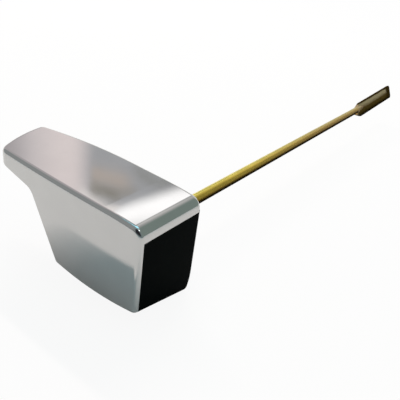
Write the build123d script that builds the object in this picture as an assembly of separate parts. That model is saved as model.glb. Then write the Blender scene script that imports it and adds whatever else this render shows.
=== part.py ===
from build123d import *
import os
from math import cos, degrees, radians, sin, sqrt

# Cistern lever: a chromed handle on a black hub body, and a brass rod that turns in a wall bushing and ends in
# a spade. The origin is on the rod's axis at the cistern's wall face. +Y runs along the rod into the cistern,
# +Z is up, and the paddle reaches out to -X. All sizes are millimetres.

# Handle, seen from above
handle_depth = 32.6
wall_gap = 1.0
cover_setback = 1.0
hub_end = 20.5
tip_reach = 60.0
tip_slant = 7.8
tip_bow = 1.6
back_sweep = 6.3
sweep_start = 14.0
front_bow = 0.8
front_tip_radius = 6.0
back_tip_radius = 2.6
inner_corner_radius = 0.2

# Handle, seen from the front: heights are above or below the rod's axis
handle_top = 21.0
fall_start = 3.0
end_fall = 1.0
end_roll = 4.5
paddle_tip_thickness = 4.6
paddle_root_thickness = 9.7
paddle_root = 34.2
paddle_root_radius = 5.0
hub_foot = 20.1
foot_corner_radius = 1.5
foot_left = 14.2
foot_middle = 15.7
foot_right = 14.0

# Cover: walls and rolled edges
cover_wall = 2.0
top_thickness = 2.2
lip_depth = 6.0
edge_roll = 1.8
skirt_edge_radius = 0.7

# Hub body: how it fits in the cover, its flared foot and its moulded hollows
body_fit = 0.1
body_inset = 0.3
foot_flare = 6.2
foot_back_fall = 3.3
foot_back_radius = 1.5
body_corner_radius = 2.2
core_wall = 2.5
rib_thickness = 2.0
rib_angles = (20, 75, 145, 215, 300)

# Screws between the body and the cover, side by side under the paddle
screw_spacing = 11.0
screw_from_root = 6.0
screw_radius = 1.45
screw_length = 4.2
screw_head_radius = 2.8
screw_head_height = 1.8
screw_seat_depth = 6.4
screw_slot_width = 0.8
screw_slot_depth = 0.9
boss_radius = 3.0
boss_length = 2.6
hole_clearance = 0.2
hole_end_gap = 0.4

# Rod and spade
rod_radius = 2.5
rod_end_radius = 2.0
rod_reach = 204.5
rod_hub_length = 25.0
rod_taper_start = 21.0
rod_chamfer = 0.5
rod_flat_depth = 0.5
spade_length = 56.5
spade_width = 9.0
spade_edge = 1.3
spade_bulge = 0.7
spade_shoulder = 6.5
spade_tilt = 25.0
spade_bend = 1.8
spade_corner = 1.4
spade_bevel = 4.5
spade_run_out = 6.0

# Rod socket and its set screw
socket_length = 12.0
socket_across_flats = 11.0
set_screw_radius = 2.0
set_screw_length = 3.0
set_screw_key_radius = 1.0
set_screw_key_depth = 1.6
set_screw_access_radius = 2.6

# Wall bushing
bushing_flange_radius = 13.5
bushing_flange_thickness = 3.0
nose_radius = 6.8
nose_length = 8.0
shank_radius = 6.35
shank_length = 16.5
shank_chamfer = 0.8
square_size = 12.7
square_length = 3.0
square_corner_radius = 1.5
stop_lug_reach = 3.0
stop_lug_angle = 16.0
spring_post_radius = 1.0
spring_post_length = 2.2
running_clearance = 0.05

# Gasket, nut and washers
gasket_radius = 13.0
gasket_hole_radius = 8.8
gasket_thickness = 2.0
wall_space = 5.8
nut_washer_radius = 10.5
nut_washer_thickness = 1.0
nut_across_flats = 19.0
nut_thickness = 5.0
nut_chamfer = 0.8
thrust_washer_radius = 6.4
thrust_washer_thickness = 0.8
end_washer_radius = 5.0
end_washer_thickness = 0.8
end_play = 0.1

# Retaining clip
clip_radius = 4.6
clip_band = 1.2
clip_thickness = 0.7
clip_lobe_width = 1.5
clip_lobe_angles = (-20, 90, 200)
clip_mouth = 3.0
groove_depth = 0.6

# Return spring and the lever's stops
lever_travel = 28.0
stop_gap = 0.4
recess_clearance = 1.5
spring_wire = 1.2
spring_pitch = 1.5
spring_turns = 4.25
spring_clearance = 0.4
spring_end_gap = 0.4
spring_leg = 8.0
spring_start_angle = 200.0
spring_seat_gap = 0.15
spring_peg_radius = 1.2

# Places worked out from the sizes above
back_y = -wall_gap
cover_back_y = back_y - cover_setback
front_y = back_y - handle_depth
lip_z = handle_top - lip_depth
roof_z = handle_top - top_thickness
boss_z = roof_z - boss_length
screw_seat_z = handle_top - screw_seat_depth
screw_tip_z = screw_seat_z + screw_length
deepest_z = -foot_middle - 2 * foot_flare
flange_back_y = -gasket_thickness
flange_front_y = flange_back_y - bushing_flange_thickness
nose_end_y = flange_front_y - nose_length
recess_floor_y = nose_end_y - end_play - thrust_washer_thickness
recess_radius = bushing_flange_radius + recess_clearance
lug_radius = bushing_flange_radius + stop_lug_reach
pocket_radius = lug_radius + stop_gap
socket_front_y = recess_floor_y - socket_length
set_screw_y = (recess_floor_y + socket_front_y) / 2
nut_washer_y = wall_space
nut_y = nut_washer_y + nut_washer_thickness
end_washer_y = shank_length + end_play
clip_y = end_washer_y + end_washer_thickness + end_play
groove_radius = rod_radius - groove_depth
spring_radius = nose_radius + spring_clearance + spring_wire / 2
spring_start_y = flange_front_y - spring_end_gap - spring_wire / 2
spring_end_y = spring_start_y - spring_pitch * spring_turns
spring_end_angle = spring_start_angle + 360 * spring_turns


def facing(y):
    """Work plane at a place along the rod, drawn on as the handle is seen from the front."""
    return Plane(origin=(0, y, 0), x_dir=(1, 0, 0), z_dir=(0, -1, 0))


def slab(sketch, back, front):
    """Front-view sketch made solid between two places along the rod."""
    return extrude(facing(back) * sketch, back - front)


def upright(sketch, low, high):
    """Plan sketch made solid between two heights."""
    return extrude(Plane.XY.offset(low) * sketch, high - low)


def rod_disc(radius, back, front):
    """Round bar on the rod's axis."""
    return slab(Circle(radius), back, front)


def ring(outer, inner, back, front):
    """Flat ring on the rod's axis."""
    return slab(Circle(outer) - Circle(inner), back, front)


def turned(points):
    """Body of revolution about the rod's axis from its half section, as radius and place along the rod."""
    return revolve(make_face(Polyline(points, close=True)), Axis.Y)


def nearest_corner(sketch, place):
    """Corner of a sketch that lies nearest to a place."""
    return sketch.vertices().sort_by_distance((*place, 0))[0]


def plan_outline(back, inset):
    """Handle from above, drawn in by an inset: bowed front and tip, square end, back edge swept to the tip."""
    lean = tip_slant / (cover_back_y - back_sweep - front_y)
    shift = inset * sqrt(1 + lean**2)
    front_tip = (tip_slant - tip_reach + shift - lean * inset, front_y + inset)
    back_tip = (-tip_reach + shift + lean * inset, cover_back_y - back_sweep - inset)
    front_end = (hub_end - inset, front_y + inset)
    back_end = (hub_end - inset, back - inset)
    sweep_point = (-sweep_start, back - inset)
    outline = make_face(
        [
            SagittaArc(front_tip, front_end, -front_bow),
            Line(front_end, back_end),
            Line(back_end, sweep_point),
            TangentArc(sweep_point, back_tip, tangent=(-1, 0)),
            SagittaArc(back_tip, front_tip, -tip_bow),
        ]
    )
    for corner, radius in [(front_tip, front_tip_radius), (back_tip, back_tip_radius)]:
        outline = fillet(nearest_corner(outline, corner), max(radius - inset, inner_corner_radius))
    return outline


def foot_arc():
    """Bowed lower edge of the hub, as it is seen from the front."""
    middle = (hub_end - hub_foot) / 2
    return ThreePointArc((-hub_foot, -foot_left), (middle, -foot_middle), (hub_end, -foot_right))


def side_outline(foot):
    """Handle from the front: paddle and hub side, closed below by a foot drawn from the side to the end."""
    tip_x = -tip_reach - tip_bow
    tip_top = (tip_x, handle_top)
    tip_under = (tip_x, handle_top - paddle_tip_thickness)
    root = (-paddle_root, handle_top - paddle_root_thickness)
    fall_top = (fall_start, handle_top)
    top_end = (hub_end, handle_top - end_fall)
    under = [Line(tip_top, tip_under), Line(tip_under, root), Line(root, foot @ 0), foot]
    above = [Line(foot @ 1, top_end), TangentArc(fall_top, top_end, tangent=(1, 0)), Line(fall_top, tip_top)]
    outline = make_face(under + above)
    outline = fillet(nearest_corner(outline, top_end), end_roll)
    return fillet(nearest_corner(outline, root), paddle_root_radius)


def front_outline():
    """Handle from the front with its bowed foot."""
    outline = side_outline(foot_arc())
    return fillet(nearest_corner(outline, (-hub_foot, -foot_left)), foot_corner_radius)


def deep_outline():
    """Handle from the front with its side and end run on straight down."""
    root_z = handle_top - paddle_root_thickness
    lean = (paddle_root - hub_foot) / (root_z + foot_left)
    return side_outline(Line((lean * (root_z - deepest_z) - paddle_root, deepest_z), (hub_end, deepest_z)))


def slid_out(sketch):
    """Plan sketch slid out past the handle's back and end, to open those two sides."""
    past = 4 * cover_wall
    return Sketch() + [Pos(*move) * sketch for move in [(0, 0), (past, 0), (0, past), (past, past)]]


def screw_places():
    """Places of the two cover screws in plan."""
    middle = (front_y + cover_back_y - back_sweep / 2) / 2
    x = -paddle_root - screw_from_root
    return [(x, middle - screw_spacing / 2), (x, middle + screw_spacing / 2)]


def screw_column(radius, low, high):
    """Upright round column at each screw."""
    return [Pos(x, y) * upright(Circle(radius), low, high) for x, y in screw_places()]


def border(faces):
    """Edges that bound a group of faces."""
    edges = faces.edges()
    return ShapeList(edge for edge in edges if sum(edge.is_same(other) for other in edges) == 1)


def upper_rim(block):
    """Edges round the handle's top and round its rolled end, down to the foot."""
    skin = block.faces().filter_by(lambda face: round(face.normal_at().X + face.normal_at().Z, 1) > 0)
    return border(skin).filter_by(Axis.Y, reverse=True)


def lower_rim(block):
    """Edges round the underside of the handle."""
    return border(block.faces().filter_by(lambda face: round(face.normal_at().Z, 1) < 0))


def handle_block():
    """Outer form of the handle: its plan and its front view in one solid, with rolled edges."""
    plan = upright(plan_outline(cover_back_y, 0), deepest_z, handle_top)
    block = plan & slab(front_outline(), back_y, front_y - 2 * front_bow)
    block = fillet(upper_rim(block), edge_roll)
    return fillet(lower_rim(block), skirt_edge_radius)


def handle_cover():
    """Chromed cover: top, front skirt and tip, open below and behind its lips."""
    inside = plan_outline(cover_back_y, cover_wall)
    cover = handle_block()
    cover -= upright(inside, deepest_z, roof_z)
    cover -= upright(slid_out(inside), deepest_z, lip_z)
    cover += screw_column(boss_radius, boss_z, roof_z)
    return cover - screw_column(screw_radius + running_clearance, boss_z, screw_tip_z + hole_end_gap)


def flared_barrel():
    """Drum about the centre of the foot's bow, wider at the wall, with a back that bows away from it."""
    bow = foot_arc()
    drum_back = back_y + body_inset
    front_foot = (bow.radius - body_inset, front_y)
    back_foot = (bow.radius + foot_flare, drum_back - foot_back_fall)
    axis_level = (bow.radius - foot_middle, drum_back)
    back = TangentArc(axis_level, back_foot, tangent=(1, 0))
    section = make_face([Polyline(back_foot, front_foot, (0, front_y), (0, drum_back), axis_level), back])
    section = fillet(nearest_corner(section, back_foot), foot_back_radius)
    return Pos(bow.arc_center.X, 0, bow.arc_center.Y) * revolve(section, Axis.Y)


def body_form():
    """Moulded outside of the hub body: it fills the cover and flares down towards the wall."""
    inside = plan_outline(cover_back_y, cover_wall + body_fit)
    shown = slid_out(inside) & plan_outline(back_y + body_inset, body_inset)
    shown = fillet(nearest_corner(shown, (hub_end, back_y)), body_corner_radius)
    sides = slab(deep_outline(), back_y, front_y)
    foot = sides & upright(shown, deepest_z, 0) & flared_barrel()
    middle = sides & upright(shown, 0, lip_z - body_fit)
    upper = sides & upright(inside, lip_z - cover_wall, roof_z - body_fit)
    return foot + middle + upper


def radial_ribs():
    """Straight ribs across the hub's hollows, each from the axis outwards."""
    reach = 2 * hub_end
    rib = Pos(reach / 2, 0) * Rectangle(reach, rib_thickness)
    return [Rot(Z=angle) * rib for angle in rib_angles]


def corner_hollows():
    """Hollows moulded into the hub's corners from the wall side, around the bushing's recess."""
    outline = front_outline()
    region = outline & Pos(0, lip_z - core_wall) * Rectangle(
        4 * hub_end, 4 * hub_end, align=(Align.CENTER, Align.MAX)
    )
    for move in [(core_wall, 0), (-core_wall, 0), (0, core_wall)]:
        region &= Pos(*move) * outline
    region -= Circle(pocket_radius + core_wall)
    return slab(region - radial_ribs(), back_y, socket_front_y)


def floor_hollows():
    """Hollows moulded into the recess's floor, round the rod socket's boss."""
    boss = socket_across_flats / sqrt(3) + core_wall
    rib_width = 2 * (set_screw_access_radius + core_wall)
    screw_rib = Pos(0, -recess_radius / 2) * Rectangle(rib_width, recess_radius)
    peg_foot = Pos(*spring_peg_place()) * Circle(spring_peg_radius + core_wall / 2)
    region = Circle(recess_radius - core_wall / 2) - Circle(boss) - screw_rib - peg_foot
    return slab(region - radial_ribs(), recess_floor_y, socket_front_y)


def stop_sector(outer, start, sweep, back, front):
    """Sector about the rod's axis, from inside the flange's rim out to a radius."""
    inner = bushing_flange_radius - recess_clearance
    first = Rot(Z=start) * Line((inner, 0), (outer, 0))
    last = Rot(Z=start + sweep) * Line((inner, 0), (outer, 0))
    arcs = [CenterArc((0, 0), radius, start, sweep) for radius in (inner, outer)]
    return slab(make_face([first, last] + arcs), back, front)


def stop_pocket():
    """Pocket in the recess's wall in which the bushing's stop lug runs."""
    half = lever_travel / 2 + stop_lug_angle / 2 + degrees(stop_gap / lug_radius)
    return stop_sector(pocket_radius, 180 - half, 2 * half, 0, flange_front_y - stop_gap)


def hub_body():
    """Black moulded body with its bushing recess, rod socket seat, stop pocket, hollows and screw holes."""
    body = body_form()
    body -= rod_disc(recess_radius, 0, recess_floor_y)
    body -= stop_pocket()
    body -= corner_hollows()
    body -= floor_hollows()
    body -= slab(socket_hexagon(), recess_floor_y, socket_front_y)
    body -= Pos(0, set_screw_y) * upright(Circle(set_screw_access_radius), deepest_z, 0)
    body -= screw_column(boss_radius + body_fit, boss_z - body_fit, handle_top)
    body -= screw_column(screw_radius + hole_clearance, screw_seat_z, handle_top)
    body -= screw_column(screw_head_radius + hole_clearance, deepest_z, screw_seat_z)
    return body + spring_peg()


def socket_hexagon():
    """Outline of the rod socket, with one flat facing down."""
    return RegularPolygon(socket_across_flats / 2, 6, major_radius=False)


def rod_socket():
    """Hexagonal brass insert with the rod's hole and the set screw's tapped hole."""
    socket = slab(socket_hexagon(), recess_floor_y, socket_front_y)
    socket -= rod_disc(rod_radius + running_clearance, recess_floor_y, socket_front_y)
    return socket - Pos(0, set_screw_y) * upright(Circle(set_screw_radius + running_clearance), deepest_z, 0)


def rod_set_screw():
    """Grub screw that bears on the rod's flat, with a hexagon key hole."""
    point_z = rod_flat_depth - rod_radius - running_clearance
    foot_z = point_z - set_screw_length
    screw = upright(Circle(set_screw_radius), foot_z, point_z)
    screw -= upright(RegularPolygon(set_screw_key_radius, 6), foot_z, foot_z + set_screw_key_depth)
    return Pos(0, set_screw_y) * screw


def cover_screw():
    """Pan-head screw with a crossed slot, driven up from under the paddle."""
    head_z = screw_seat_z - screw_head_height
    head = upright(Circle(screw_head_radius), head_z, screw_seat_z)
    head = fillet(head.edges().sort_by(Axis.Z)[0], screw_head_height / 2)
    slot = upright(Rectangle(screw_head_radius, screw_slot_width), head_z, head_z + screw_slot_depth)
    return head - slot - Rot(Z=90) * slot + upright(Circle(screw_radius), screw_seat_z, screw_tip_z)


def cover_screws():
    """Both cover screws as separate solids."""
    return Compound([(Pos(*place) * cover_screw()).solid() for place in screw_places()])


def spade_section():
    """Forged section of the spade across the rod, with both faces bulged."""
    thick = spade_edge / 2
    wide = spade_width / 2
    sides = []
    for side in (1, -1):
        x = side * thick
        z = side * wide
        sides += [SagittaArc((x, -z), (x, z), -spade_bulge), Line((x, z), (-x, z))]
    return make_face(sides)


def mirrored(half):
    """Closed outline from its one half, as places along the rod and distances from the middle."""
    return make_face(Polyline(half + [(y, -away) for y, away in reversed(half)], close=True))


def spade():
    """Forged end of the rod: it widens from the rod in shoulders, and its free end is clipped and thinned."""
    neck = rod_reach - spade_shoulder
    end = rod_reach + spade_length
    wide = spade_width / 2
    thick = spade_edge / 2 + spade_bulge
    start = rod_end_radius - spade_edge / 4
    clipped = [(end - spade_corner, wide), (end, wide - spade_corner)]
    broad = mirrored([(neck, start), (rod_reach, wide)] + clipped)
    narrow = mirrored([(neck, thick), (end - spade_bevel, thick), (end, spade_edge / 2)])
    blade = slab(spade_section(), end, neck)
    blade &= extrude(Plane.YZ * broad, thick, both=True)
    blade &= extrude(Plane.YX * narrow, wide, both=True)
    middle = Axis((0, rod_reach + spade_length / 2, 0), (1, 0, 0))
    return (Rot(Y=-spade_tilt) * blade).rotate(middle, spade_bend)


def lever_rod():
    """Brass rod: turned journal, long taper and the spade, with a clip groove and a set-screw flat."""
    hub_y = -rod_hub_length
    run_out = rod_reach + spade_run_out
    groove_back = clip_y + clip_thickness + end_play / 2
    groove_front = clip_y - end_play / 2
    section = [
        (0, hub_y),
        (rod_radius - rod_chamfer, hub_y),
        (rod_radius, hub_y + rod_chamfer),
        (rod_radius, groove_front),
        (groove_radius, groove_front),
        (groove_radius, groove_back),
        (rod_radius, groove_back),
        (rod_radius, rod_taper_start),
        (rod_end_radius, rod_reach),
        (spade_edge / 2, run_out),
        (0, run_out),
    ]
    flat_length = 2 * set_screw_radius + 4 * rod_chamfer
    flat = Box(2 * rod_radius, flat_length, rod_radius, align=(Align.CENTER, Align.CENTER, Align.MAX))
    return turned(section) + spade() - Pos(0, set_screw_y, rod_flat_depth - rod_radius) * flat


def leg_place(angle, along, outward):
    """Place beside a spring leg: along the tangent from the coil at an angle, and outwards from the leg."""
    reach = spring_radius + outward
    turn = radians(angle)
    return reach * cos(turn) - along * sin(turn), reach * sin(turn) + along * cos(turn)


def return_spring():
    """Torsion spring of round wire with two straight tangent legs."""
    coil = Helix(spring_pitch, spring_pitch * spring_turns, spring_radius)
    first_leg = Line(coil @ 0 - (coil % 0) * spring_leg, coil @ 0)
    last_leg = Line(coil @ 1, coil @ 1 + (coil % 1) * spring_leg)
    path = Wire([first_leg.edge(), coil.edge(), last_leg.edge()])
    section = Plane(origin=path @ 0, z_dir=path % 0) * Circle(spring_wire / 2)
    return facing(spring_start_y) * (Rot(Z=spring_start_angle) * sweep(section, path, is_frenet=True))


def spring_post():
    """Post on the bushing's flange that holds the spring's fixed leg."""
    outward = spring_wire / 2 + spring_seat_gap + spring_post_radius
    place = leg_place(spring_start_angle, spring_post_radius - spring_leg, outward)
    return slab(Pos(*place) * Circle(spring_post_radius), flange_front_y, flange_front_y - spring_post_length)


def spring_peg_place():
    """Place of the hub's spring peg beside the spring's driven leg."""
    outward = spring_wire / 2 + spring_seat_gap + spring_peg_radius
    return leg_place(spring_end_angle, spring_leg - spring_peg_radius, outward)


def spring_peg():
    """Moulded peg in the hub's recess that drives the spring's other leg."""
    peg = Pos(*spring_peg_place()) * Circle(spring_peg_radius)
    return slab(peg, spring_end_y + spring_wire, recess_floor_y)


def mounting_bushing():
    """Threaded wall bushing with flange, square shoulder, spring nose and stop lug, bored for the rod."""
    section = [
        (rod_radius + running_clearance, nose_end_y),
        (nose_radius, nose_end_y),
        (nose_radius, flange_front_y),
        (bushing_flange_radius, flange_front_y),
        (bushing_flange_radius, flange_back_y),
        (shank_radius, flange_back_y),
        (shank_radius, shank_length - shank_chamfer),
        (shank_radius - shank_chamfer, shank_length),
        (rod_radius + running_clearance, shank_length),
    ]
    square = RectangleRounded(square_size, square_size, square_corner_radius)
    square -= Circle(nose_radius - shank_chamfer)
    lug_start = 180 + lever_travel / 2 - stop_lug_angle / 2
    lug = stop_sector(lug_radius, lug_start, stop_lug_angle, flange_back_y, flange_front_y)
    return turned(section) + slab(square, square_length, flange_back_y) + lug + spring_post()


def wall_gasket():
    """Rubber ring between the flange and the cistern's wall."""
    return ring(gasket_radius, gasket_hole_radius, 0, flange_back_y)


def nut_washer():
    """Flat washer under the clamp nut."""
    return ring(nut_washer_radius, shank_radius + hole_clearance, nut_y, nut_washer_y)


def clamp_nut():
    """Hexagon nut on the shank, with both faces chamfered round."""
    back = nut_y + nut_thickness
    face_radius = nut_across_flats / 2
    rim_radius = face_radius + 2 * nut_chamfer
    bore_radius = shank_radius + running_clearance
    section = [
        (bore_radius, nut_y),
        (face_radius, nut_y),
        (rim_radius, nut_y + nut_chamfer),
        (rim_radius, back - nut_chamfer),
        (face_radius, back),
        (bore_radius, back),
    ]
    return turned(section) & slab(RegularPolygon(face_radius, 6, major_radius=False), back, nut_y)


def thrust_washer():
    """Plastic washer between the bushing's nose and the floor of the hub's recess."""
    back = recess_floor_y + thrust_washer_thickness
    return ring(thrust_washer_radius, rod_radius + hole_clearance, back, recess_floor_y)


def end_washer():
    """Plain washer at the inner end of the bushing."""
    back = end_washer_y + end_washer_thickness
    return ring(end_washer_radius, rod_radius + hole_clearance, back, end_washer_y)


def retaining_clip():
    """E-clip: a split band with three lobes that reach into the rod's groove."""
    lobe = Pos(clip_radius / 2, 0) * Rectangle(clip_radius, clip_lobe_width)
    mouth = Pos(0, -clip_radius / 2) * Rectangle(clip_mouth, clip_radius)
    band = Circle(clip_radius) - Circle(clip_radius - clip_band) - mouth
    outline = (band + [Rot(Z=angle) * lobe for angle in clip_lobe_angles]) & Circle(clip_radius)
    return slab(outline - Circle(groove_radius + running_clearance), clip_y + clip_thickness, clip_y)


nodes = {
    "handle_cover": handle_cover,
    "hub_body": hub_body,
    "rod_socket": rod_socket,
    "rod_set_screw": rod_set_screw,
    "cover_screws": cover_screws,
    "lever_rod": lever_rod,
    "mounting_bushing": mounting_bushing,
    "wall_gasket": wall_gasket,
    "nut_washer": nut_washer,
    "clamp_nut": clamp_nut,
    "thrust_washer": thrust_washer,
    "end_washer": end_washer,
    "retaining_clip": retaining_clip,
    "return_spring": return_spring,
}

os.makedirs("parts", exist_ok=True)
for name, make in nodes.items():
    export_step(make(), f"parts/{name}.step")
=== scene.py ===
"""Cistern lever: its finishes, the threads on its shank, and the studio it stands in."""
import logging
import math
from abc import ABC, abstractmethod
from dataclasses import dataclass, field
from enum import Enum
from typing import Any, Mapping, Optional, Union

import bpy
from mathutils import Matrix, Vector


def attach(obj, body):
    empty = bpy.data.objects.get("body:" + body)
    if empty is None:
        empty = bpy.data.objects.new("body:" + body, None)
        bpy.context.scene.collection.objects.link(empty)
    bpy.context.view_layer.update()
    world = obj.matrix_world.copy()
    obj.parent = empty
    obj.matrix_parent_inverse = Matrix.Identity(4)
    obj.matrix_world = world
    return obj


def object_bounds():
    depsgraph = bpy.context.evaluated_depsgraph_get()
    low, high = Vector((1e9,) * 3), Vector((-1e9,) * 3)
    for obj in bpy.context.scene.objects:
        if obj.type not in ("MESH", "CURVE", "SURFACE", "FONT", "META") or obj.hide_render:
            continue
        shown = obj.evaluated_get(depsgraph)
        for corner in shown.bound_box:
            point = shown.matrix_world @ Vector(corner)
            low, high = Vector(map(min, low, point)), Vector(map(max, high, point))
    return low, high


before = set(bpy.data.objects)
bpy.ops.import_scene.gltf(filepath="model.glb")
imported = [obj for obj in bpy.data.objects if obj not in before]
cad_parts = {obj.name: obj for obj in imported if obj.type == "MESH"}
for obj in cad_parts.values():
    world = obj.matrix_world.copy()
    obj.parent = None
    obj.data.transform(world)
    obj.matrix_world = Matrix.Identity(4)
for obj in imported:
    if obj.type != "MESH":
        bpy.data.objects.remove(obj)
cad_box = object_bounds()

log = logging.getLogger("cistern_lever")

Colour = tuple[float, float, float]
Place = tuple[float, float, float]
Span = tuple[float, float]
MM = 0.001
NOISE_MEAN = 0.5
WHITE: Colour = (1.0, 1.0, 1.0)


class Body(Enum):
    """The two bodies that the lever's joint divides."""

    WALL = "wall_mount"
    LEVER = "lever"


class Slot(Enum):
    """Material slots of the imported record."""

    CHROME = "chrome_cover"
    MOULDING = "black_moulding"
    ROD = "rod_brass"
    TURNED = "turned_brass"
    ZINC = "zinc_steel"
    SPRING = "spring_steel"
    RUBBER = "black_rubber"
    NYLON = "white_nylon"


class Scalar:
    """A number that varies over a surface: a node's socket that takes part in Python sums."""

    def __init__(self, tree: bpy.types.NodeTree, socket: bpy.types.NodeSocket) -> None:
        """Wrap one output socket.

        Args:
            tree: the node tree that the socket is in.
            socket: the output that carries the number.
        """
        self.tree = tree
        self.socket = socket

    def _join(self, operation: str, first: "Number", second: "Number" = 0.0) -> "Scalar":
        """Add one Math node.

        Args:
            operation: the Math node's operation.
            first: its first value.
            second: its second value, where it has one.

        Returns:
            The node's result.
        """
        node = self.tree.nodes.new("ShaderNodeMath")
        node.operation = operation
        for socket, value in zip(node.inputs, (first, second)):
            if isinstance(value, Scalar):
                self.tree.links.new(value.socket, socket)
            else:
                socket.default_value = value
        return Scalar(self.tree, node.outputs[0])

    def __add__(self, other: "Number") -> "Scalar":
        """Sum."""
        return self._join("ADD", self, other)

    def __radd__(self, other: "Number") -> "Scalar":
        """Sum, from the right."""
        return self._join("ADD", other, self)

    def __sub__(self, other: "Number") -> "Scalar":
        """Difference."""
        return self._join("SUBTRACT", self, other)

    def __rsub__(self, other: "Number") -> "Scalar":
        """Difference, from the right."""
        return self._join("SUBTRACT", other, self)

    def __mul__(self, other: "Number") -> "Scalar":
        """Product."""
        return self._join("MULTIPLY", self, other)

    def __rmul__(self, other: "Number") -> "Scalar":
        """Product, from the right."""
        return self._join("MULTIPLY", other, self)

    def larger(self, other: "Number") -> "Scalar":
        """The larger of two numbers."""
        return self._join("MAXIMUM", self, other)

    def root(self) -> "Scalar":
        """Square root."""
        return self._join("SQRT", self)

    def bearing(self, ahead: "Number") -> "Scalar":
        """Angle in degrees of a way that goes so far aside for so far ahead."""
        return self._join("ARCTAN2", self, ahead) * math.degrees(1.0)

    def lift(self) -> "Scalar":
        """Angle in degrees whose sine is the number."""
        return self._join("ARCSINE", self) * math.degrees(1.0)

    def step(self, start: float, end: float) -> "Scalar":
        """A soft step.

        Args:
            start: where the step leaves 0.
            end: where it reaches 1; below start, the step rises the other way.

        Returns:
            A number from 0 to 1.
        """
        node = self.tree.nodes.new("ShaderNodeMapRange")
        node.interpolation_type = "SMOOTHSTEP"
        rises = start < end
        values = {
            "From Min": min(start, end),
            "From Max": max(start, end),
            "To Min": 0.0 if rises else 1.0,
            "To Max": 1.0 if rises else 0.0,
        }
        for name, value in values.items():
            node.inputs[name].default_value = value
        self.tree.links.new(self.socket, node.inputs["Value"])
        return Scalar(self.tree, node.outputs["Result"])


Number = Union[Scalar, float, int]
Tone = Union[Colour, bpy.types.NodeSocket]


class Graph:
    """Adds nodes to one shader tree."""

    noise_roughness = 0.55

    def __init__(self, tree: bpy.types.NodeTree) -> None:
        """Start from an empty tree.

        Args:
            tree: the tree of a material or of the world.
        """
        self.tree = tree
        tree.nodes.clear()

    def node(
        self,
        kind: str,
        settings: Optional[Mapping[str, Any]] = None,
        inputs: Optional[Mapping[Union[str, int], Any]] = None,
    ) -> bpy.types.Node:
        """Add one node.

        Args:
            kind: the node's type.
            settings: its own settings, set first.
            inputs: the value or the link of each named socket.

        Returns:
            The new node.
        """
        made = self.tree.nodes.new(kind)
        for name, value in (settings or {}).items():
            setattr(made, name, value)
        for name, value in (inputs or {}).items():
            socket = made.inputs[name]
            if isinstance(value, Scalar):
                self.tree.links.new(value.socket, socket)
            elif isinstance(value, bpy.types.NodeSocket):
                self.tree.links.new(value, socket)
            else:
                socket.default_value = value
        return made

    def scalar(self, socket: bpy.types.NodeSocket) -> Scalar:
        """Wrap an output socket as a number."""
        return Scalar(self.tree, socket)

    def coordinates(self, output: str = "Object") -> bpy.types.NodeSocket:
        """One output of the Texture Coordinate node."""
        return self.node("ShaderNodeTexCoord").outputs[output]

    def ray(self, kind: str) -> Scalar:
        """Whether a ray is of one kind, as 0 or 1."""
        return self.scalar(self.node("ShaderNodeLightPath").outputs[kind])

    def seen(self) -> Scalar:
        """Whether the camera looks straight or through something clear, as 0 or 1."""
        return self.ray("Is Camera Ray").larger(self.ray("Is Transmission Ray"))

    def split(self, vector: bpy.types.NodeSocket) -> tuple[Scalar, Scalar, Scalar]:
        """The three parts of a vector."""
        x, y, z = self.node("ShaderNodeSeparateXYZ", inputs={0: vector}).outputs
        return self.scalar(x), self.scalar(y), self.scalar(z)

    def along(self, vector: bpy.types.NodeSocket, way: Place) -> Scalar:
        """How far a vector goes along a way."""
        made = self.node("ShaderNodeVectorMath", {"operation": "DOT_PRODUCT"}, {0: vector, 1: way})
        return self.scalar(made.outputs["Value"])

    def join(self, x: Number, y: Number, z: Number) -> bpy.types.NodeSocket:
        """A vector from three numbers."""
        return self.node("ShaderNodeCombineXYZ", inputs={0: x, 1: y, 2: z}).outputs[0]

    def noise(
        self,
        vector: bpy.types.NodeSocket,
        size: float,
        stretch: Place = (1.0, 1.0, 1.0),
        detail: float = 2.0,
    ) -> Scalar:
        """Cloudy noise.

        Args:
            vector: the coordinates, in metres.
            size: the size of its clouds, in metres.
            stretch: how many times longer the clouds are along each axis.
            detail: how many finer layers it has.

        Returns:
            A number about NOISE_MEAN.
        """
        scale = tuple(1 / (size * longer) for longer in stretch)
        mapped = self.node("ShaderNodeMapping", inputs={"Vector": vector, "Scale": scale})
        sockets = {
            "Vector": mapped.outputs[0],
            "Scale": 1.0,
            "Detail": detail,
            "Roughness": self.noise_roughness,
        }
        return self.scalar(self.node("ShaderNodeTexNoise", inputs=sockets).outputs[0])

    def mix(self, share: Number, first: Tone, second: Tone, blend: str = "MIX") -> bpy.types.NodeSocket:
        """A mix of two colours.

        Args:
            share: 0 gives the first colour and 1 the second.
            first: a colour or a link.
            second: a colour or a link.
            blend: how the second colour goes on the first.

        Returns:
            The mixed colour.
        """
        low, high = ((*tone, 1.0) if isinstance(tone, tuple) else tone for tone in (first, second))
        settings = {"data_type": "RGBA", "blend_type": blend}
        return self.node("ShaderNodeMix", settings, {0: share, 6: low, 7: high}).outputs[2]

    def bump(self, height: Scalar, depth: float) -> bpy.types.NodeSocket:
        """Fine relief of a depth in metres, as the normal that a shader takes."""
        return self.node("ShaderNodeBump", inputs={"Distance": depth, "Height": height}).outputs[0]

    def surface(self, **inputs: Any) -> None:
        """Add the one shader of a finish, and link it to the material's output.

        Args:
            inputs: values and links of the shader's sockets, with _ for a space.
        """
        named = {name.replace("_", " "): value for name, value in inputs.items()}
        shader = self.node("ShaderNodeBsdfPrincipled", inputs=named)
        self.node("ShaderNodeOutputMaterial", inputs={"Surface": shader.outputs[0]})


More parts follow.
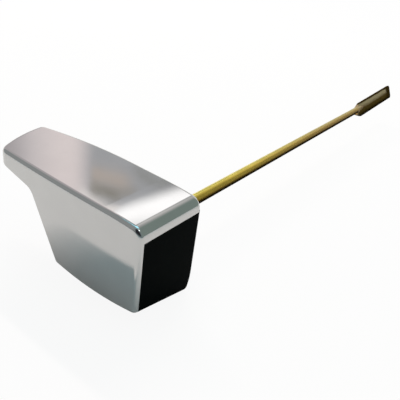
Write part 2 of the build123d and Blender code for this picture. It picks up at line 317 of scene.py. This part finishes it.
@dataclass(frozen=True)
class Finish(ABC):
    """A finish that one material slot of the lever has."""

    slot: Slot
    colour: Colour
    roughness: float

    def material(self) -> bpy.types.Material:
        """Make the finish's material.

        Returns:
            A new material, named after its slot.
        """
        made = bpy.data.materials.new(self.slot.value)
        made.use_nodes = True
        self.draw(Graph(made.node_tree))
        made.diffuse_color = (*self.colour, 1.0)
        return made

    @abstractmethod
    def draw(self, graph: Graph) -> None:
        """Add the finish's nodes to its material."""

    def tint(self, share: float) -> Colour:
        """The finish's colour, so many times as bright."""
        return tuple(min(1.0, part * share) for part in self.colour)

    def uneven(self, *noises: tuple[Scalar, float]) -> Scalar:
        """The finish's roughness, made uneven.

        Args:
            noises: each noise with how much of it is added.

        Returns:
            A roughness that varies over the surface.
        """
        varied: Number = self.roughness
        for noise, share in noises:
            varied = varied + (noise - NOISE_MEAN) * share
        return varied


@dataclass(frozen=True)
class ChromePlate(Finish):
    """Chrome over a polished casting, with the casting's skin left rough inside."""

    cloud: float = 9 * MM
    cloud_range: Span = (0.35, 0.7)
    cloud_tint: float = 0.975
    cloud_haze: float = 0.03
    swirl: float = 1.6 * MM
    swirl_stretch: Place = (6.0, 1.0, 1.0)
    swirl_haze: float = 0.02
    ripple: float = 5 * MM
    ripple_share: float = 0.8
    ripple_depth: float = 0.004 * MM
    cast_colour: Colour = (0.36, 0.36, 0.35)
    cast_roughness: float = 0.5
    cast_grain: float = 0.35 * MM
    cast_share: float = 2.0
    inward: Span = (0.55, 0.8)

    def draw(self, graph: Graph) -> None:
        """Polish the outside, and leave a cast skin on the faces that look in and down.

        Args:
            graph: the material's nodes.
        """
        place = graph.coordinates()
        _, towards_wall, upward = graph.split(graph.coordinates("Normal"))
        inside = towards_wall.larger(0 - upward).step(*self.inward)
        cloud = graph.noise(place, self.cloud)
        swirl = graph.noise(place, self.swirl, self.swirl_stretch)
        grain = graph.noise(place, self.cast_grain)
        polished = graph.mix(cloud.step(*self.cloud_range), self.tint(self.cloud_tint), self.colour)
        polish = self.uneven((cloud, self.cloud_haze), (swirl, self.swirl_haze))
        relief = graph.noise(place, self.ripple) * self.ripple_share + grain * inside * self.cast_share
        graph.surface(
            Base_Color=graph.mix(inside, polished, self.cast_colour),
            Metallic=1.0,
            Roughness=polish + inside * (self.cast_roughness - self.roughness),
            Normal=graph.bump(relief, self.ripple_depth),
        )


@dataclass(frozen=True)
class MouldedPlastic(Finish):
    """Moulded plastic with a fine spark-eroded skin."""

    gloss: float = 0.15
    grain: float = 0.22 * MM
    grain_haze: float = 0.1
    grain_depth: float = 0.012 * MM
    patch: float = 12 * MM
    patch_range: Span = (0.3, 0.75)
    patch_tints: Span = (0.8, 1.15)
    patch_haze: float = 0.12

    def draw(self, graph: Graph) -> None:
        """Give it a fine even grain, a little glossier in patches.

        Args:
            graph: the material's nodes.
        """
        place = graph.coordinates()
        patch = graph.noise(place, self.patch)
        grain = graph.noise(place, self.grain, detail=1.0)
        dark, light = (self.tint(share) for share in self.patch_tints)
        graph.surface(
            Base_Color=graph.mix(patch.step(*self.patch_range), dark, light),
            Roughness=self.uneven((patch, self.patch_haze), (grain, self.grain_haze)),
            Specular_IOR_Level=self.gloss,
            Normal=graph.bump(grain, self.grain_depth),
        )


@dataclass(frozen=True)
class DrawnBrass(Finish):
    """Drawn brass rod with a painted shade along its lower side and painted light on its top and flank,
    and a forged spade with painted shade on its lower part, top edge and end.

    Spans that end in _along are places along the rod. Those that end in _side are shares of the lower
    side's direction, and those that end in _across are distances down from the spade's middle.
    """

    lines: float = 0.3 * MM
    lines_stretch: Place = (1.0, 60.0, 1.0)
    lines_haze: float = 0.08
    lines_depth: float = 0.006 * MM
    bloom: float = 3.5 * MM
    bloom_stretch: Place = (1.0, 3.0, 1.0)
    bloom_range: Span = (0.35, 0.7)
    bloom_tints: Span = (0.88, 1.06)
    bloom_haze: float = 0.12
    fine_layers: float = 3.0
    # crown and flank: painted light, a brighter and cooler top and a warmer lower flank on the rod
    crown: Colour = (1.22, 1.25, 1.3)
    flank: Colour = (1.28, 0.98, 0.83)
    flank_side: Span = (-0.75, -0.05)
    dull: Colour = (0.55, 0.42, 0.135)
    dull_along: Span = (50 * MM, 150 * MM)
    dull_haze: float = 0.1
    # painted shade: the rod's lower side and the spade's foot are painted near black in the colour below
    lower_side: Place = (0.73, 0.0, -0.685)
    painted_shade: Colour = (0.012, 0.007, 0.002)
    painted_shade_side: Span = (0.02, 0.66)
    painted_shade_drift: float = 0.1
    spade_down: Place = (0.4226, 0.0285, -0.906)
    spade_middle: float = 6.62 * MM
    forged: Colour = (0.64, 0.47, 0.25)
    forged_along: Span = (196.5 * MM, 201 * MM)
    # a darker brown near the spade's shoulder, on its middle and lower part
    shoulder_brown: Colour = (0.32, 0.17, 0.05)
    shoulder_brown_share: float = 0.8
    shoulder_start_along: Span = (201 * MM, 204 * MM)
    shoulder_end_along: Span = (216 * MM, 206 * MM)
    shoulder_across: Span = (-2.8 * MM, -1 * MM)
    # scale: painted shade, a dark brown over the spade's lower half, its top edge and its end
    scale: Colour = (0.1, 0.062, 0.014)
    painted_shade_brown_across: Span = (-3.0 * MM, 0.4 * MM)
    across_drift: float = 1.2 * MM
    # rim: painted shade along the spade's top edge and at its end
    rim_along: Span = (250 * MM, 254 * MM)
    rim_across: Span = (-3.3 * MM, -3.9 * MM)
    rim_dark: float = 0.6
    # foot: painted shade, the spade's lower part painted near black
    foot_across: Span = (0.9 * MM, 4.0 * MM)

    def draw(self, graph: Graph) -> None:
        """Draw lines along the rod, a bloom that comes and goes, painted shade on the lower sides of rod
        and spade, and painted light on the rod's top and flank.

        Args:
            graph: the material's nodes.
        """
        place = graph.coordinates()
        _, along, _ = graph.split(place)
        lines = graph.noise(place, self.lines, self.lines_stretch, self.fine_layers)
        bloom = graph.noise(place, self.bloom, self.bloom_stretch, self.fine_layers)
        drift = bloom - NOISE_MEAN
        # under: how far a normal leans to the rod's lower side, which sets the painted shade and painted
        # light
        under = graph.along(graph.coordinates("Normal"), self.lower_side) + drift * self.painted_shade_drift
        down = graph.along(place, self.spade_down) - self.spade_middle + drift * self.across_drift

        spade = along.step(*self.forged_along)
        # painted shade: the spade's rim and lower half
        rim = down.step(*self.rim_across).larger(along.step(*self.rim_along))
        painted_shade_brown_mask = spade * down.step(*self.painted_shade_brown_across).larger(rim)
        # darker brown near the spade's shoulder, on its middle and lower part
        shoulder_brown_mask = along.step(*self.shoulder_start_along) * down.step(*self.shoulder_across)
        shoulder_brown_mask = shoulder_brown_mask * along.step(*self.shoulder_end_along)
        # painted shade: near black on the rod's lower side, and on the spade's foot and rim
        rod_painted_shade = under.step(*self.painted_shade_side)
        spade_painted_shade = down.step(*self.foot_across).larger(rim * self.rim_dark)
        dark = rod_painted_shade + (spade_painted_shade - rod_painted_shade) * spade
        dulled = along.step(*self.dull_along)

        faint, full = (self.tint(share) for share in self.bloom_tints)
        # painted light: the rod's top brightened and cooled, its lower flank warmed
        shade = graph.mix(under.step(*self.flank_side), self.crown, self.flank)
        colour = graph.mix(bloom.step(*self.bloom_range), faint, full)
        colour = graph.mix(dulled, colour, self.dull)
        colour = graph.mix(1.0, colour, shade, "MULTIPLY")
        colour = graph.mix(spade, colour, self.forged)
        colour = graph.mix(shoulder_brown_mask * self.shoulder_brown_share, colour, self.shoulder_brown)
        # painted shade: dark brown on the spade's lower half and rim
        colour = graph.mix(painted_shade_brown_mask, colour, self.scale)
        # painted shade: the near-black colour goes on the rod's lower side and the spade's foot and rim
        colour = graph.mix(dark, colour, self.painted_shade)
        uneven = self.uneven((bloom, self.bloom_haze), (lines, self.lines_haze))
        graph.surface(
            Base_Color=colour,
            Metallic=1 - dark.larger(painted_shade_brown_mask),
            Roughness=uneven + dulled * self.dull_haze,
            Specular_IOR_Level=0.0,
            Normal=graph.bump(lines, self.lines_depth),
        )


@dataclass(frozen=True)
class TurnedMetal(Finish):
    """Metal turned on a lathe about the rod's axis."""

    feed: float = 0.16 * MM
    feed_haze: float = 0.1
    feed_depth: float = 0.004 * MM
    stain: float = 4 * MM
    stain_range: Span = (0.3, 0.7)
    stain_tint: float = 0.85
    stain_haze: float = 0.12

    def draw(self, graph: Graph) -> None:
        """Draw tool marks round the axis, and a slight stain.

        Args:
            graph: the material's nodes.
        """
        place = graph.coordinates()
        x, along, z = graph.split(place)
        out = (x * x + z * z).root()
        marks = graph.noise(graph.join(out, along, 0.0), self.feed, detail=1.0)
        stain = graph.noise(place, self.stain, detail=3.0)
        graph.surface(
            Base_Color=graph.mix(stain.step(*self.stain_range), self.tint(self.stain_tint), self.colour),
            Metallic=1.0,
            Roughness=self.uneven((marks, self.feed_haze), (stain, self.stain_haze)),
            Normal=graph.bump(marks, self.feed_depth),
        )


@dataclass(frozen=True)
class PlatedSteel(Finish):
    """Stamped or drawn steel with a thin plated or oiled skin."""

    skin: Colour = (0.6, 0.58, 0.5)
    grain: float = 0.18 * MM
    grain_haze: float = 0.08
    grain_depth: float = 0.004 * MM
    patch: float = 2.5 * MM
    patch_range: Span = (0.4, 0.75)
    patch_haze: float = 0.14

    def draw(self, graph: Graph) -> None:
        """Give it a fine grain under a skin that changes tint in patches.

        Args:
            graph: the material's nodes.
        """
        place = graph.coordinates()
        grain = graph.noise(place, self.grain, detail=1.0)
        patch = graph.noise(place, self.patch, detail=3.0)
        graph.surface(
            Base_Color=graph.mix(patch.step(*self.patch_range), self.colour, self.skin),
            Metallic=1.0,
            Roughness=self.uneven((patch, self.patch_haze), (grain, self.grain_haze)),
            Normal=graph.bump(grain, self.grain_depth),
        )


FINISHES: tuple[Finish, ...] = (
    ChromePlate(Slot.CHROME, (0.64, 0.63, 0.625), 0.07),
    MouldedPlastic(Slot.MOULDING, (0.0012, 0.0024, 0.0022), 0.5, gloss=0.009),
    DrawnBrass(Slot.ROD, (0.78, 0.63, 0.12), 0.26),
    TurnedMetal(Slot.TURNED, (0.6, 0.46, 0.2), 0.26),
    PlatedSteel(Slot.ZINC, (0.56, 0.57, 0.58), 0.34),
    PlatedSteel(Slot.SPRING, (0.26, 0.26, 0.27), 0.36, skin=(0.2, 0.19, 0.18)),
    MouldedPlastic(Slot.RUBBER, (0.016, 0.016, 0.016), 0.72, gloss=0.25, grain=0.12 * MM),
    MouldedPlastic(Slot.NYLON, (0.72, 0.7, 0.63), 0.42, gloss=0.4, grain=0.4 * MM),
)


class Paintbox:
    """The materials, one for each slot."""

    def __init__(self) -> None:
        """Make every finish's material once."""
        self.materials = {finish.slot: finish.material() for finish in FINISHES}

    def paint(self, piece: bpy.types.Object, slot: Slot) -> None:
        """Give a piece one slot's material."""
        piece.data.materials.clear()
        piece.data.materials.append(self.materials[slot])


def deselect() -> None:
    """Leave nothing selected."""
    bpy.ops.object.select_all(action="DESELECT")


@dataclass
class Assembly:
    """A sub-assembly of the lever, with the slot of each of its solids."""

    nodes: Mapping[str, Slot]

    def build(self) -> None:
        """Model what the solids leave out, which for most sub-assemblies is nothing."""

    def dress(self, paints: Paintbox) -> list[bpy.types.Object]:
        """Give the solids their finishes.

        Args:
            paints: the materials.

        Returns:
            The dressed pieces.
        """
        pieces = []
        for name, slot in self.nodes.items():
            pieces.append(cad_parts[name])
            paints.paint(pieces[-1], slot)
        return pieces


@dataclass
class Handle(Assembly):
    """The chromed cover, the black body inside it and the screws that join them."""

    nodes: Mapping[str, Slot] = field(
        default_factory=lambda: {
            "handle_cover": Slot.CHROME,
            "hub_body": Slot.MOULDING,
            "cover_screws": Slot.ZINC,
        }
    )


@dataclass
class DriveRod(Assembly):
    """The rod with its spade, and what holds it in the hub and in the bushing."""

    nodes: Mapping[str, Slot] = field(
        default_factory=lambda: {
            "lever_rod": Slot.ROD,
            "rod_socket": Slot.TURNED,
            "rod_set_screw": Slot.ZINC,
            "thrust_washer": Slot.NYLON,
            "end_washer": Slot.ZINC,
            "retaining_clip": Slot.SPRING,
        }
    )


@dataclass
class WallBushing(Assembly):
    """The threaded bushing with its gasket, nut, washer and spring.

    The runs are where the thread starts and ends along the rod. The thread's half width and its run-out
    are shares of the pitch, and its sink is a share of the foot.
    """

    nodes: Mapping[str, Slot] = field(
        default_factory=lambda: {
            "mounting_bushing": Slot.TURNED,
            "wall_gasket": Slot.RUBBER,
            "nut_washer": Slot.ZINC,
            "clamp_nut": Slot.TURNED,
            "return_spring": Slot.SPRING,
        }
    )
    runs: Mapping[str, Span] = field(
        default_factory=lambda: {
            "thread_before_nut": (3.2 * MM, 5.6 * MM),
            "thread_behind_nut": (12.0 * MM, 15.6 * MM),
        }
    )
    shank_radius: float = 6.35 * MM
    thread_pitch: float = 1.27 * MM
    thread_height: float = 0.3 * MM
    thread_foot: float = 0.1 * MM
    thread_half: float = 0.42
    thread_run_out: float = 0.5
    thread_sink: float = 0.5
    thread_steps: int = 48
    weld: float = 0.001 * MM
    smooth_below: float = 40.0
    threads: list[bpy.types.Object] = field(default_factory=list, init=False)

    def build(self) -> None:
        """Cut the thread that shows on both sides of the nut."""
        self.threads = [self._thread(name, start, end) for name, (start, end) in self.runs.items()]

    def _thread(self, name: str, start: float, end: float) -> bpy.types.Object:
        """Wind one thread round the shank.

        Args:
            name: the new piece's name.
            start: where it starts along the rod.
            end: where it ends along the rod.

        Returns:
            A closed ridge that sinks into the shank at both ends.
        """
        deselect()
        bpy.ops.mesh.primitive_circle_add(vertices=3, radius=self.thread_height, fill_type="NOTHING")
        thread = bpy.context.object
        thread.name = name
        root = self.shank_radius - self.thread_foot
        crest = self.shank_radius + self.thread_height
        half = self.thread_pitch * self.thread_half
        section = ((root, start - half), (crest, start), (root, start + half))
        for vertex, (out, along) in zip(thread.data.vertices, section):
            vertex.co = (out, along, 0.0)
        turns = (end - start) / self.thread_pitch
        screw = thread.modifiers.new("winding", "SCREW")
        screw.axis = "Y"
        screw.angle = 2 * math.pi * turns
        screw.screw_offset = self.thread_pitch * turns
        screw.steps = int(self.thread_steps * turns)
        screw.render_steps = screw.steps
        bpy.ops.object.modifier_apply(modifier=screw.name)
        self._sink_ends(thread, start, end)
        self._close_ends()
        return thread

    def _sink_ends(self, thread: bpy.types.Object, start: float, end: float) -> None:
        """Run the ridge out into the shank at both ends.

        Args:
            thread: the wound ridge.
            start: where it starts along the rod.
            end: where it ends along the rod.
        """
        run_out = self.thread_pitch * self.thread_run_out
        sunk = self.shank_radius - self.thread_foot * self.thread_sink
        for vertex in thread.data.vertices:
            out = math.hypot(vertex.co.x, vertex.co.z)
            if out > self.shank_radius:
                nearest = min(vertex.co.y - start, end - vertex.co.y)
                share = max(0.0, min(1.0, nearest / run_out))
                level = (sunk + (out - sunk) * share) / out
                vertex.co.x *= level
                vertex.co.z *= level

    def _close_ends(self) -> None:
        """Fill the open ends of the active ridge, and smooth its flanks."""
        bpy.ops.object.mode_set(mode="EDIT")
        bpy.ops.mesh.select_mode(type="EDGE")
        bpy.ops.mesh.select_all(action="DESELECT")
        bpy.ops.mesh.select_non_manifold()
        bpy.ops.mesh.fill()
        bpy.ops.mesh.select_all(action="SELECT")
        bpy.ops.mesh.remove_doubles(threshold=self.weld)
        bpy.ops.mesh.normals_make_consistent(inside=False)
        bpy.ops.object.mode_set(mode="OBJECT")
        bpy.ops.object.shade_smooth_by_angle(angle=math.radians(self.smooth_below))

    def dress(self, paints: Paintbox) -> list[bpy.types.Object]:
        """Give the solids and the threads their finishes, and fix the threads to the wall.

        Args:
            paints: the materials.

        Returns:
            The dressed pieces.
        """
        pieces = super().dress(paints)
        for thread in self.threads:
            paints.paint(thread, Slot.TURNED)
            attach(thread, Body.WALL.value)
        return pieces + self.threads


@dataclass(frozen=True)
class Panel:
    """A soft-edged panel of the studio, as its angles round the lever and above the floor, in degrees.

    Angles round the lever turn from the rod's direction towards the paddle. A panel that leans rises or
    falls by so many degrees for each degree of its turn.
    """

    name: str
    colour: Colour
    turn: Span
    rise: Span
    turn_soft: Span = (3.0, 3.0)
    rise_soft: Span = (3.0, 3.0)
    lean: float = 0.0

    def mask(self, turn: Scalar, rise: Scalar) -> Scalar:
        """How much of the panel shows in a direction.

        Args:
            turn: the direction's angle round the lever.
            rise: its angle above the floor.

        Returns:
            1 on the panel and 0 off it.
        """
        level = rise - (turn - self.turn[0]) * self.lean
        shown: Number = 1.0
        for angle, (low, high), (low_soft, high_soft) in (
            (turn, self.turn, self.turn_soft),
            (level, self.rise, self.rise_soft),
        ):
            shown = angle.step(low - low_soft, low + low_soft) * shown
            shown = angle.step(high + high_soft, high - high_soft) * shown
        return shown


PANELS: tuple[Panel, ...] = (
    Panel("ceiling", (0.3, 0.365, 0.37), (-180, 180), (60, 95), rise_soft=(6, 3)),
    Panel("skylight", (0.7, 1.48, 1.74), (-25, 75), (60.5, 84), (12, 12), (4, 8)),
    Panel("front_wall", (0.2, 0.265, 0.27), (-180, -80), (-4, 50), (2, 10), (3, 6)),
    Panel("right_wall", (0.24, 0.3, 0.275), (-75, -5), (-4, 58), (12, 6), (3, 6)),
    Panel("left_wall", (0.34, 0.36, 0.36), (78, 160), (-4, 60), (6, 8), (3, 6)),
    Panel("low_card", (0.95, 0.95, 0.93), (-12, 60), (-4, 16), (10, 6), (2, 6)),
    Panel("middle_card", (0.8, 0.8, 0.78), (-12, 27), (24, 39), (8, 4), (5, 4)),
    Panel("high_card", (0.74, 0.74, 0.72), (0, 30), (41, 52), (22, 4), (5, 5)),
    Panel("curtain", (0.39, 0.4, 0.41), (27, 49), (22, 36), (3, 1), (4, 2)),
    Panel("curtain_fold", (0.5, 0.515, 0.535), (37.5, 49), (20, 36), (2.5, 1), (4, 2)),
    Panel("rosy_wall", (0.74, 0.7, 0.715), (48, 84), (-4, 52), (1.5, 6), (2, 6)),
    Panel("rosy_wall_edge", (1.0, 0.91, 0.9), (48.3, 53.5), (-4, 52), (1.5, 3.5), (2, 6)),
    Panel("rosy_wall_shade", (0.54, 0.51, 0.52), (55.5, 84), (-4, 52), (2, 6), (2, 6)),
    Panel("card_side", (0.39, 0.4, 0.39), (36.5, 42), (30.2, 31.6), (1, 1), (0.6, 0.5), -0.5),
    Panel("card_shade", (0.4, 0.385, 0.35), (41.5, 47.2), (30.3, 31.2), (0.8, 0.5), (0.5, 0.5)),
    Panel("brown_card", (0.64, 0.565, 0.505), (42.6, 47.2), (28.9, 30.4), (1.3, 0.4), (0.5, 0.55), -0.17),
    Panel("card_foot", (0.3, 0.285, 0.24), (43.6, 47.3), (31.15, 32.05), (0.8, 0.4), (0.45, 0.35), -0.4),
    Panel("light_box", (1.6, 1.6, 1.6), (25, 47), (32.2, 39.3), (4, 2), (2.4, 3.4), 0.13),
    Panel("light_box_edge", (1.15, 1.1, 1.07), (42.5, 48.6), (33.8, 35.6), (0.8, 0.6), (0.35, 0.6), -0.55),
    Panel("black_flag", (0.03, 0.03, 0.035), (-178, -104), (14, 72), (2, 6), (6, 5)),
    Panel("glint", (3.4, 4.0, 4.0), (-92, -62), (58, 68), (5, 5), (3, 3)),
)


@dataclass
class Studio:
    """Floor, soft light and camera."""

    room: Colour = (0.28, 0.3, 0.298)
    panels: tuple[Panel, ...] = PANELS
    white_below: Span = (2.0, 0.0)
    key_direction: Place = (-0.46, 0.49, 0.844)
    key_distance: float = 1.2
    key_length: float = 0.85
    key_width: float = 0.045
    key_power: float = 11.1
    key_colour: Colour = (1.0, 0.87, 0.82)
    floor_colour: Colour = (0.86, 0.855, 0.845)
    floor_side: float = 8.0
    floor_fade: Span = (0.35, 1.2)
    floor_white_near: float = 0.92
    floor_white_gain: float = 0.08
    floor_white_mirrored: float = 0.03
    eye: Place = (106.6 * MM, -134.55 * MM, 113.4 * MM)
    right: Place = (0.78425, 0.6073, 0.12705)
    down: Place = (0.40154, -0.34069, -0.85011)
    focal_share: float = 1.3
    sensor_width: float = 36.0
    clip: Span = (0.01, 20.0)

    def build(self) -> None:
        """Put up the floor, the light and the camera."""
        bpy.context.scene.view_settings.view_transform = "Standard"
        self._floor()
        self._world()
        self._key()
        self._camera()

    def _floor(self) -> None:
        """Lay a pale floor under the lever's foot."""
        deselect()
        bpy.ops.mesh.primitive_plane_add(size=self.floor_side, location=(0.0, 0.0, cad_box[0].z))
        floor = bpy.context.object
        floor.name = "floor"
        bpy.ops.object.transform_apply(location=True, rotation=True, scale=True)
        floor.data.materials.append(self._floor_material())

    def _floor_material(self) -> bpy.types.Material:
        """Make the floor white to the eye apart from shadows, and clear to a camera below it.

        Returns:
            The floor's material.
        """
        made = bpy.data.materials.new("pale_floor")
        made.use_nodes = True
        graph = Graph(made.node_tree)
        x, y, _ = graph.split(graph.coordinates())
        far = (x * x + y * y).root().step(*self.floor_fade)
        white_share = graph.seen() * (self.floor_white_near + far * self.floor_white_gain)
        white_share = white_share + graph.ray("Is Glossy Ray") * self.floor_white_mirrored
        matt = graph.node("ShaderNodeBsdfDiffuse", inputs={"Color": (*self.floor_colour, 1.0)})
        white = graph.node("ShaderNodeEmission", inputs={"Color": (*WHITE, 1.0), "Strength": 1.0})
        mixed = {0: white_share, 1: matt.outputs[0], 2: white.outputs[0]}
        pale = graph.node("ShaderNodeMixShader", inputs=mixed)
        behind = graph.scalar(graph.node("ShaderNodeNewGeometry").outputs["Backfacing"])
        clear = graph.node("ShaderNodeBsdfTransparent")
        mixed = {0: behind * graph.ray("Is Camera Ray"), 1: pale.outputs[0], 2: clear.outputs[0]}
        shown = graph.node("ShaderNodeMixShader", inputs=mixed)
        graph.node("ShaderNodeOutputMaterial", inputs={"Surface": shown.outputs[0]})
        return made

    def _world(self) -> None:
        """Light the room softly with its panels, before a white background."""
        world = bpy.data.worlds.new("studio")
        bpy.context.scene.world = world
        world.use_nodes = True
        graph = Graph(world.node_tree)
        x, y, z = graph.split(graph.coordinates("Generated"))
        turn = (0 - x).bearing(y)
        rise = z.lift()
        colour: Tone = self.room
        for panel in self.panels:
            colour = graph.mix(panel.mask(turn, rise), colour, panel.colour)
            log.info("panel: %s", panel.name)
        white = graph.seen().larger(graph.ray("Is Glossy Ray") * rise.step(*self.white_below))
        light = graph.node("ShaderNodeBackground", inputs={"Color": graph.mix(white, colour, WHITE)})
        graph.node("ShaderNodeOutputWorld", inputs={"Surface": light.outputs[0]})

    def _key(self) -> None:
        """Hang a long key light above and behind the lever, which lights it and isn't mirrored in it."""
        lamp = bpy.data.lights.new("key", "AREA")
        lamp.shape = "RECTANGLE"
        lamp.size = self.key_length
        lamp.size_y = self.key_width
        lamp.energy = self.key_power
        lamp.color = self.key_colour
        hung = bpy.data.objects.new("key", lamp)
        way = Vector(self.key_direction).normalized()
        level = Vector((1.0, 0.0, 0.0))
        level = (level - way * level.dot(way)).normalized()
        turned = Matrix((level, way.cross(level), way)).transposed()
        hung.matrix_world = Matrix.Translation(way * self.key_distance) @ turned.to_4x4()
        hung.visible_camera = False
        hung.visible_glossy = False
        bpy.context.scene.collection.objects.link(hung)

    def _camera(self) -> None:
        """Set the camera where the photograph was taken from."""
        lens = bpy.data.cameras.new("camera")
        lens.sensor_width = self.sensor_width
        lens.lens = self.sensor_width * self.focal_share
        lens.clip_start, lens.clip_end = self.clip
        camera = bpy.data.objects.new("camera", lens)
        right = Vector(self.right).normalized()
        up = -Vector(self.down).normalized()
        turned = Matrix((right, up, right.cross(up))).transposed()
        camera.matrix_world = Matrix.Translation(self.eye) @ turned.to_4x4()
        bpy.context.scene.collection.objects.link(camera)
        bpy.context.scene.camera = camera


def main() -> None:
    """Build and dress each sub-assembly, report its pieces, and set up the studio."""
    logging.basicConfig(level=logging.INFO, format="%(name)s: %(message)s")
    paints = Paintbox()
    for assembly in (Handle(), DriveRod(), WallBushing()):
        assembly.build()
        for piece in assembly.dress(paints):
            log.info("%s: %s", piece.name, piece.active_material.name)
    Studio().build()


if __name__ == "__main__":
    main()
